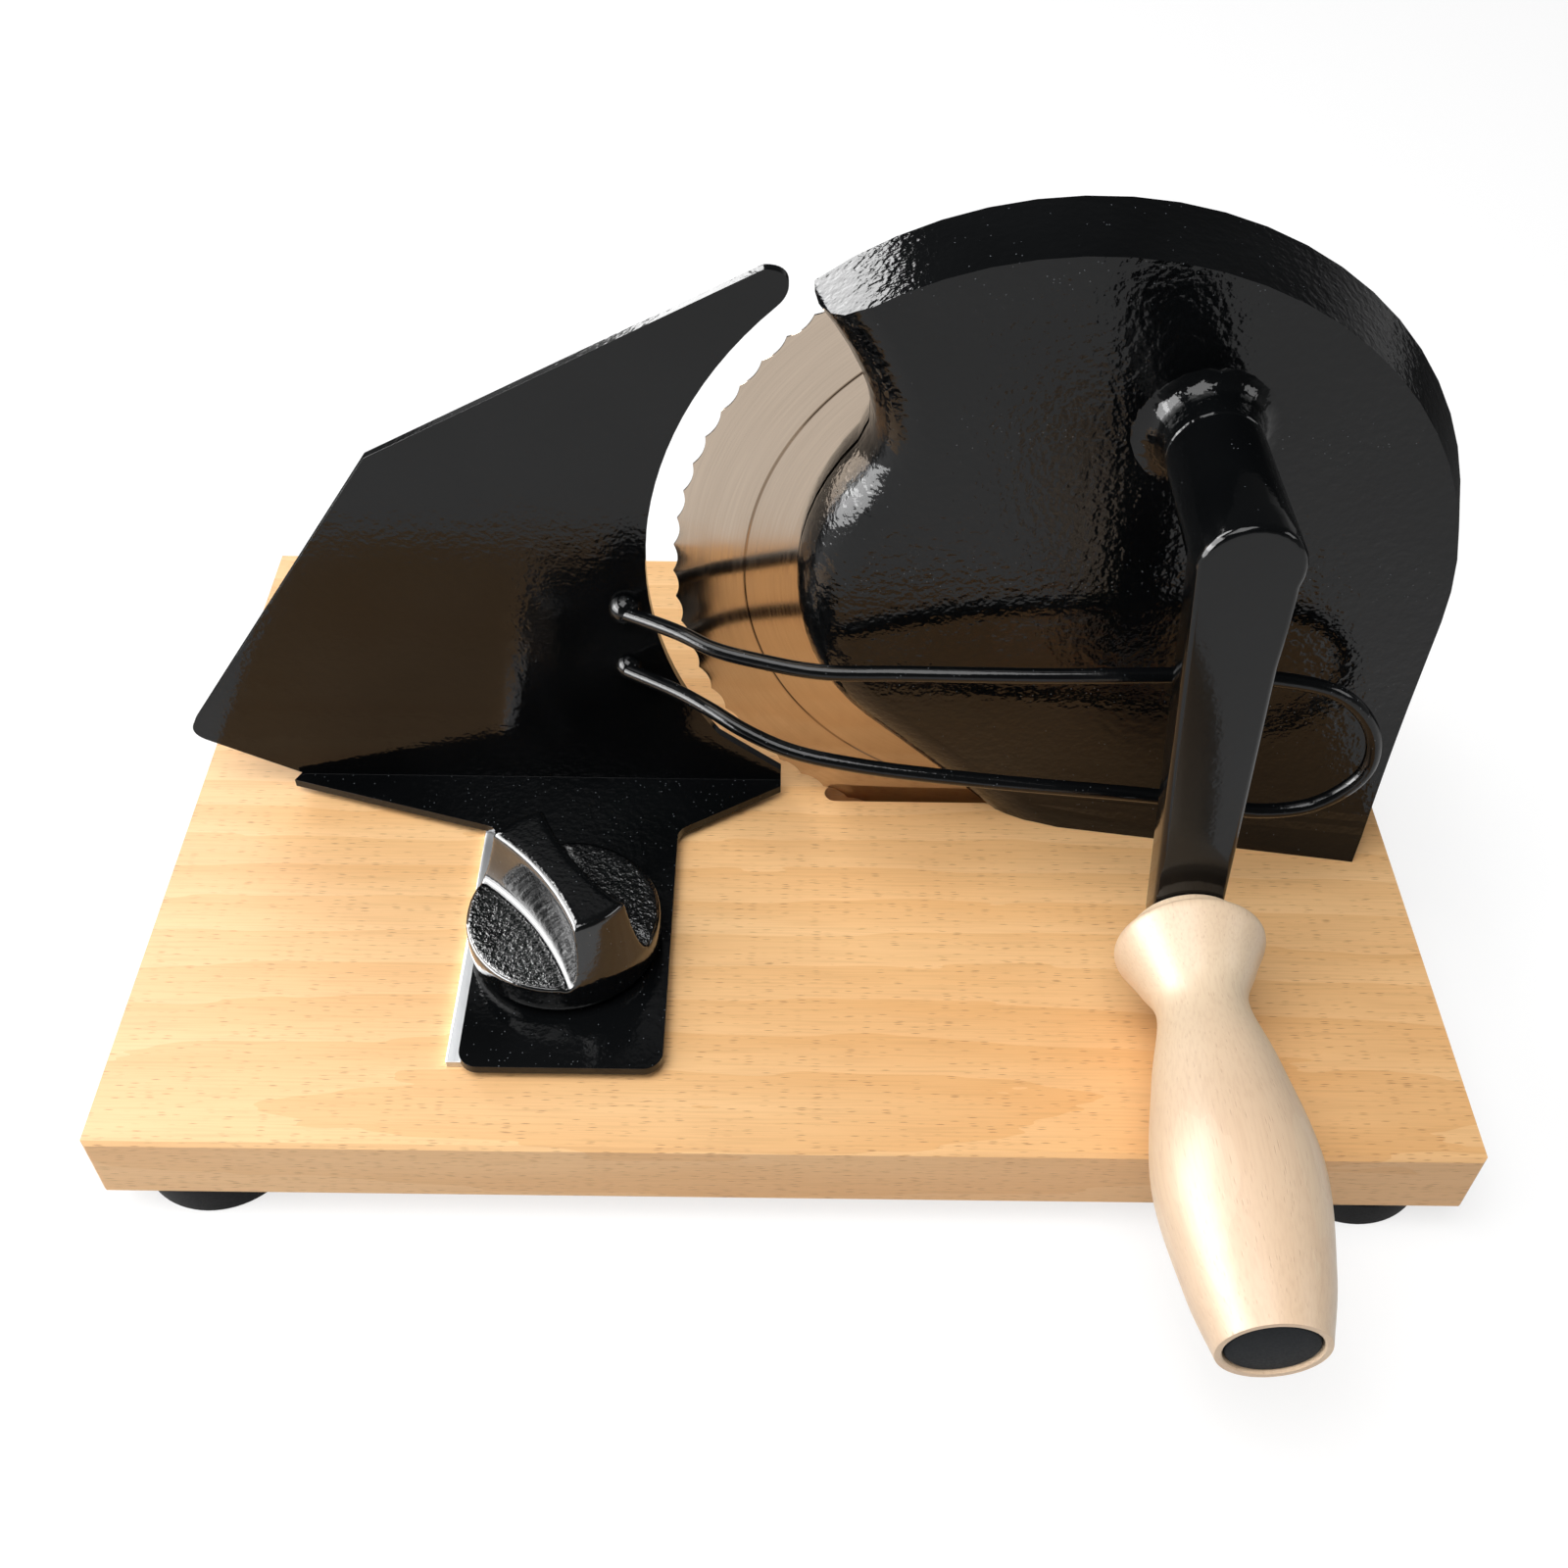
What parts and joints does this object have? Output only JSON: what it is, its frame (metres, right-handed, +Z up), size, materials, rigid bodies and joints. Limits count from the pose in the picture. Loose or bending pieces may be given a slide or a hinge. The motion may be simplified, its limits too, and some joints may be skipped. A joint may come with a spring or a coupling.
{
  "type": "manual bread slicer",
  "caption": "Hand-cranked bread slicer: geared round scalloped blade in a cast housing on a wooden board, with a sliding fence, wire slice guard and clamp knob.",
  "frame": {"origin": "middle of the outer box on the plane of the feet's undersides", "axes": "+Z up, +X along the board from the fence to the housing, -Y towards the crank handle"},
  "size_m": [0.338, 0.2894, 0.2153],
  "materials": {
    "beech": "oiled",
    "enamel": "black hammered enamel",
    "blade_steel": "brushed",
    "steel": "bare steel",
    "rubber": "matte",
    "pale_wood": "lacquered",
    "cap_plastic": "matte",
    "bronze": "turned"
  },
  "bodies": {
    "frame": {"base_board": "beech", "foot_front_left": "rubber", "foot_screw_front_left": "steel", "foot_front_right": "rubber", "foot_screw_front_right": "steel", "foot_back_left": "rubber", "foot_screw_back_left": "steel", "foot_back_right": "rubber", "foot_screw_back_right": "steel", "housing": "enamel", "housing_screw_left": "steel", "housing_screw_middle": "steel", "housing_screw_right": "steel", "crank_bush": "bronze", "blade_axle": "steel", "axle_washer": "steel", "axle_screw": "steel", "guide_strip": "steel", "guide_screw_front": "steel", "guide_screw_back": "steel", "clamp_stud": "steel", "clamp_washer": "steel"},
    "fence": {"fence_plate": "enamel", "slice_guard": "enamel"},
    "knob": {"clamp_knob": "enamel", "knob_insert": "bronze"},
    "crank": {"crank_arm": "enamel", "crank_shaft": "steel", "crank_gear": "steel", "shaft_clip": "steel", "hub_set_screw": "steel", "handle_spindle": "steel"},
    "grip": {"handle_grip": "pale_wood", "handle_cap": "cap_plastic"},
    "cutter": {"blade": "blade_steel", "blade_hub": "steel", "blade_gear": "steel", "blade_screw_1": "steel", "blade_screw_2": "steel", "blade_screw_3": "steel"}
  },
  "joints": [
    {"name": "crank_turn", "type": "hinge", "parent": "frame", "child": "crank", "pos_m": [0.09123, 0, 0.17218], "axis": [0, 1, 0], "continuous": true},
    {"name": "blade_spin", "type": "hinge", "parent": "frame", "child": "cutter", "pos_m": [0.065, 0.037, 0.1138], "axis": [0, 1, 0], "continuous": true},
    {"name": "grip_spin", "type": "hinge", "parent": "crank", "child": "grip", "pos_m": [0.09864, -0.09, 0.06062], "axis": [0, 1, 0], "continuous": true},
    {"name": "fence_slide", "type": "slide", "parent": "frame", "child": "fence", "axis": [0, -1, 0], "range_m": [0, 0.018]},
    {"name": "knob_turn", "type": "hinge", "parent": "frame", "child": "knob", "pos_m": [-0.0578, -0.0224, 0.05], "axis": [0, 0, 1], "range_deg": [0, 180]}
  ],
  "couplings": [
    {"joint": "blade_spin", "follows": "crank_turn", "ratio": -0.77778}
  ]
}
